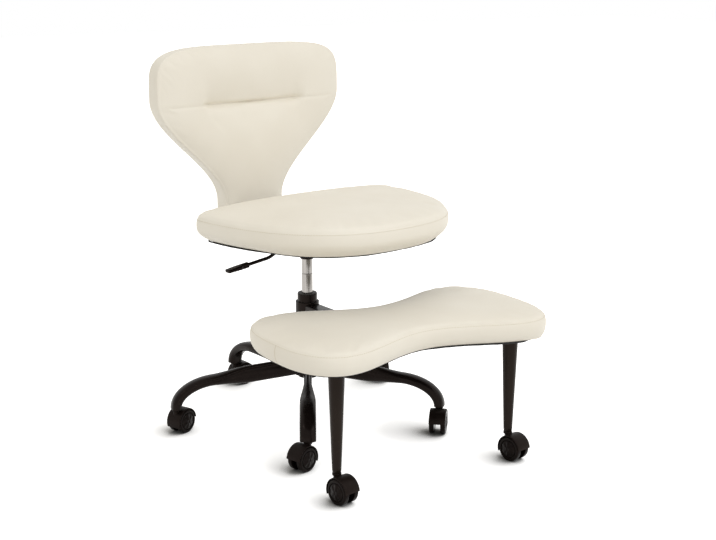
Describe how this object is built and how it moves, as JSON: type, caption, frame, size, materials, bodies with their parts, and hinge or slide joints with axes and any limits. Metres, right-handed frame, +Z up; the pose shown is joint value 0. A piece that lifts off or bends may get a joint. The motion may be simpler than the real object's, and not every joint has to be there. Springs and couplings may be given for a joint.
{
  "type": "meditation chair",
  "caption": "Swivel meditation chair: wide round seat with a spoon-shaped back on a gas lift and castered star base, with a bow-tie footrest that swings round the column.",
  "frame": {"origin": "on the floor under the middle of the whole chair's box; the column stands 112 mm behind it", "axes": "+Z up, front of the chair towards -Y, +X to the right of someone facing the chair; the seat is stored swivelled 8 degrees from straight ahead, as in the picture"},
  "size_m": [0.7151, 0.9623, 0.9441],
  "materials": {
    "cream_leather": "satin",
    "black_paint": "gloss",
    "chrome": "polished",
    "zinc_steel": "satin",
    "grey_plastic": "matte",
    "black_plastic": "satin",
    "caster_wheel": "satin",
    "black_cloth": "matte",
    "plywood": "matte"
  },
  "bodies": {
    "base": {"base_hub": "black_paint", "base_leg_1": "black_paint", "base_leg_2": "black_paint", "base_leg_3": "black_paint", "base_leg_4": "black_paint", "base_leg_5": "black_paint", "column_tube": "black_paint", "column_guide_bush": "grey_plastic", "piston_rod": "zinc_steel", "column_bearing": "zinc_steel", "column_clip": "zinc_steel"},
    "lift": {"gas_cylinder": "chrome"},
    "release": {"release_pin": "zinc_steel"},
    "seat": {"seat_cushion": "cream_leather", "seat_board": "plywood", "seat_dust_cover": "black_cloth", "seat_mechanism": "black_paint", "back_bar": "black_paint", "back_cushion": "cream_leather", "back_panel": "cream_leather"},
    "lever": {"lever_rod": "black_paint", "lever_paddle": "black_plastic"},
    "footrest": {"footrest_cushion": "cream_leather", "footrest_board": "plywood", "footrest_dust_cover": "black_cloth", "footrest_sleeve": "black_paint", "footrest_liner": "grey_plastic", "footrest_arm": "black_paint", "footrest_leg_left": "black_paint", "footrest_leg_right": "black_paint"},
    "base_caster_1": {"base_caster_1_hood": "black_plastic", "base_caster_1_stem": "zinc_steel"},
    "base_caster_1_wheel_a": {"base_caster_1_wheel_a": "caster_wheel"},
    "base_caster_1_wheel_b": {"base_caster_1_wheel_b": "caster_wheel"},
    "base_caster_2": {"base_caster_2_hood": "black_plastic", "base_caster_2_stem": "zinc_steel"},
    "base_caster_2_wheel_a": {"base_caster_2_wheel_a": "caster_wheel"},
    "base_caster_2_wheel_b": {"base_caster_2_wheel_b": "caster_wheel"},
    "base_caster_3": {"base_caster_3_hood": "black_plastic", "base_caster_3_stem": "zinc_steel"},
    "base_caster_3_wheel_a": {"base_caster_3_wheel_a": "caster_wheel"},
    "base_caster_3_wheel_b": {"base_caster_3_wheel_b": "caster_wheel"},
    "base_caster_4": {"base_caster_4_hood": "black_plastic", "base_caster_4_stem": "zinc_steel"},
    "base_caster_4_wheel_a": {"base_caster_4_wheel_a": "caster_wheel"},
    "base_caster_4_wheel_b": {"base_caster_4_wheel_b": "caster_wheel"},
    "base_caster_5": {"base_caster_5_hood": "black_plastic", "base_caster_5_stem": "zinc_steel"},
    "base_caster_5_wheel_a": {"base_caster_5_wheel_a": "caster_wheel"},
    "base_caster_5_wheel_b": {"base_caster_5_wheel_b": "caster_wheel"},
    "footrest_caster_left": {"footrest_caster_left_hood": "black_plastic", "footrest_caster_left_stem": "zinc_steel"},
    "footrest_caster_left_wheel_a": {"footrest_caster_left_wheel_a": "caster_wheel"},
    "footrest_caster_left_wheel_b": {"footrest_caster_left_wheel_b": "caster_wheel"},
    "footrest_caster_right": {"footrest_caster_right_hood": "black_plastic", "footrest_caster_right_stem": "zinc_steel"},
    "footrest_caster_right_wheel_a": {"footrest_caster_right_wheel_a": "caster_wheel"},
    "footrest_caster_right_wheel_b": {"footrest_caster_right_wheel_b": "caster_wheel"}
  },
  "joints": [
    {"name": "lift_height", "type": "slide", "parent": "base", "child": "lift", "axis": [0, 0, 1], "range_m": [-0.07, 0.03]},
    {"name": "seat_swivel", "type": "hinge", "parent": "lift", "child": "seat", "pos_m": [0, 0.1122, 0.48], "axis": [0, 0, 1], "continuous": true},
    {"name": "lever_lift", "type": "hinge", "parent": "seat", "child": "lever", "pos_m": [-0.03812, 0.10684, 0.4896], "axis": [-0.1392, 0.9903, 0], "range_deg": [0, 6]},
    {"name": "pin_press", "type": "slide", "parent": "lift", "child": "release", "axis": [0, 0, -1], "range_m": [0, 0.005]},
    {"name": "footrest_swivel", "type": "hinge", "parent": "base", "child": "footrest", "pos_m": [0, 0.1122, 0.24], "axis": [0, 0, 1], "continuous": true},
    {"name": "base_caster_1_swivel", "type": "hinge", "parent": "base", "child": "base_caster_1", "pos_m": [0.31849, 0.24739, 0.06], "axis": [0, 0, 1], "continuous": true},
    {"name": "base_caster_1_spin_a", "type": "hinge", "parent": "base_caster_1", "child": "base_caster_1_wheel_a", "pos_m": [0.32599, 0.26594, 0.02954], "axis": [-0.9272, 0.3746, 0], "continuous": true},
    {"name": "base_caster_1_spin_b", "type": "hinge", "parent": "base_caster_1", "child": "base_caster_1_wheel_b", "pos_m": [0.32599, 0.26594, 0.02954], "axis": [-0.9272, 0.3746, 0], "continuous": true},
    {"name": "base_caster_2_swivel", "type": "hinge", "parent": "base", "child": "base_caster_2", "pos_m": [-0.03016, 0.45688, 0.06], "axis": [0, 0, 1], "continuous": true},
    {"name": "base_caster_2_spin_a", "type": "hinge", "parent": "base_caster_2", "child": "base_caster_2_wheel_a", "pos_m": [-0.0102, 0.45828, 0.02954], "axis": [-0.0698, 0.9976, 0], "continuous": true},
    {"name": "base_caster_2_spin_b", "type": "hinge", "parent": "base_caster_2", "child": "base_caster_2_wheel_b", "pos_m": [-0.0102, 0.45828, 0.02954], "axis": [-0.0698, 0.9976, 0], "continuous": true},
    {"name": "base_caster_3_swivel", "type": "hinge", "parent": "base", "child": "base_caster_3", "pos_m": [-0.33713, 0.19003, 0.06], "axis": [0, 0, 1], "continuous": true},
    {"name": "base_caster_3_spin_a", "type": "hinge", "parent": "base_caster_3", "child": "base_caster_3_wheel_a", "pos_m": [-0.31886, 0.19817, 0.02954], "axis": [-0.4067, 0.9135, 0], "continuous": true},
    {"name": "base_caster_3_spin_b", "type": "hinge", "parent": "base_caster_3", "child": "base_caster_3_wheel_b", "pos_m": [-0.31886, 0.19817, 0.02954], "axis": [-0.4067, 0.9135, 0], "continuous": true},
    {"name": "base_caster_4_swivel", "type": "hinge", "parent": "base", "child": "base_caster_4", "pos_m": [-0.1782, -0.18438, 0.06], "axis": [0, 0, 1], "continuous": true},
    {"name": "base_caster_4_spin_a", "type": "hinge", "parent": "base_caster_4", "child": "base_caster_4_wheel_a", "pos_m": [-0.19733, -0.19023, 0.02954], "axis": [0.2924, -0.9563, 0], "continuous": true},
    {"name": "base_caster_4_spin_b", "type": "hinge", "parent": "base_caster_4", "child": "base_caster_4_wheel_b", "pos_m": [-0.19733, -0.19023, 0.02954], "axis": [0.2924, -0.9563, 0], "continuous": true},
    {"name": "base_caster_5_swivel", "type": "hinge", "parent": "base", "child": "base_caster_5", "pos_m": [0.227, -0.14893, 0.06], "axis": [0, 0, 1], "continuous": true},
    {"name": "base_caster_5_spin_a", "type": "hinge", "parent": "base_caster_5", "child": "base_caster_5_wheel_a", "pos_m": [0.21336, -0.16356, 0.02954], "axis": [0.7314, -0.682, 0], "continuous": true},
    {"name": "base_caster_5_spin_b", "type": "hinge", "parent": "base_caster_5", "child": "base_caster_5_wheel_b", "pos_m": [0.21336, -0.16356, 0.02954], "axis": [0.7314, -0.682, 0], "continuous": true},
    {"name": "footrest_caster_left_swivel", "type": "hinge", "parent": "footrest", "child": "footrest_caster_left", "pos_m": [-0.225, -0.3848, 0.06], "axis": [0, 0, 1], "continuous": true},
    {"name": "footrest_caster_left_spin_a", "type": "hinge", "parent": "footrest_caster_left", "child": "footrest_caster_left_wheel_a", "pos_m": [-0.22153, -0.4045, 0.02954], "axis": [0.9848, 0.1736, 0], "continuous": true},
    {"name": "footrest_caster_left_spin_b", "type": "hinge", "parent": "footrest_caster_left", "child": "footrest_caster_left_wheel_b", "pos_m": [-0.22153, -0.4045, 0.02954], "axis": [0.9848, 0.1736, 0], "continuous": true},
    {"name": "footrest_caster_right_swivel", "type": "hinge", "parent": "footrest", "child": "footrest_caster_right", "pos_m": [0.255, -0.3848, 0.06], "axis": [0, 0, 1], "continuous": true},
    {"name": "footrest_caster_right_spin_a", "type": "hinge", "parent": "footrest_caster_right", "child": "footrest_caster_right_wheel_a", "pos_m": [0.25847, -0.4045, 0.02954], "axis": [0.9848, 0.1736, 0], "continuous": true},
    {"name": "footrest_caster_right_spin_b", "type": "hinge", "parent": "footrest_caster_right", "child": "footrest_caster_right_wheel_b", "pos_m": [0.25847, -0.4045, 0.02954], "axis": [0.9848, 0.1736, 0], "continuous": true}
  ],
  "couplings": [
    {"joint": "pin_press", "follows": "lever_lift", "m_per_rad": 0.043}
  ]
}
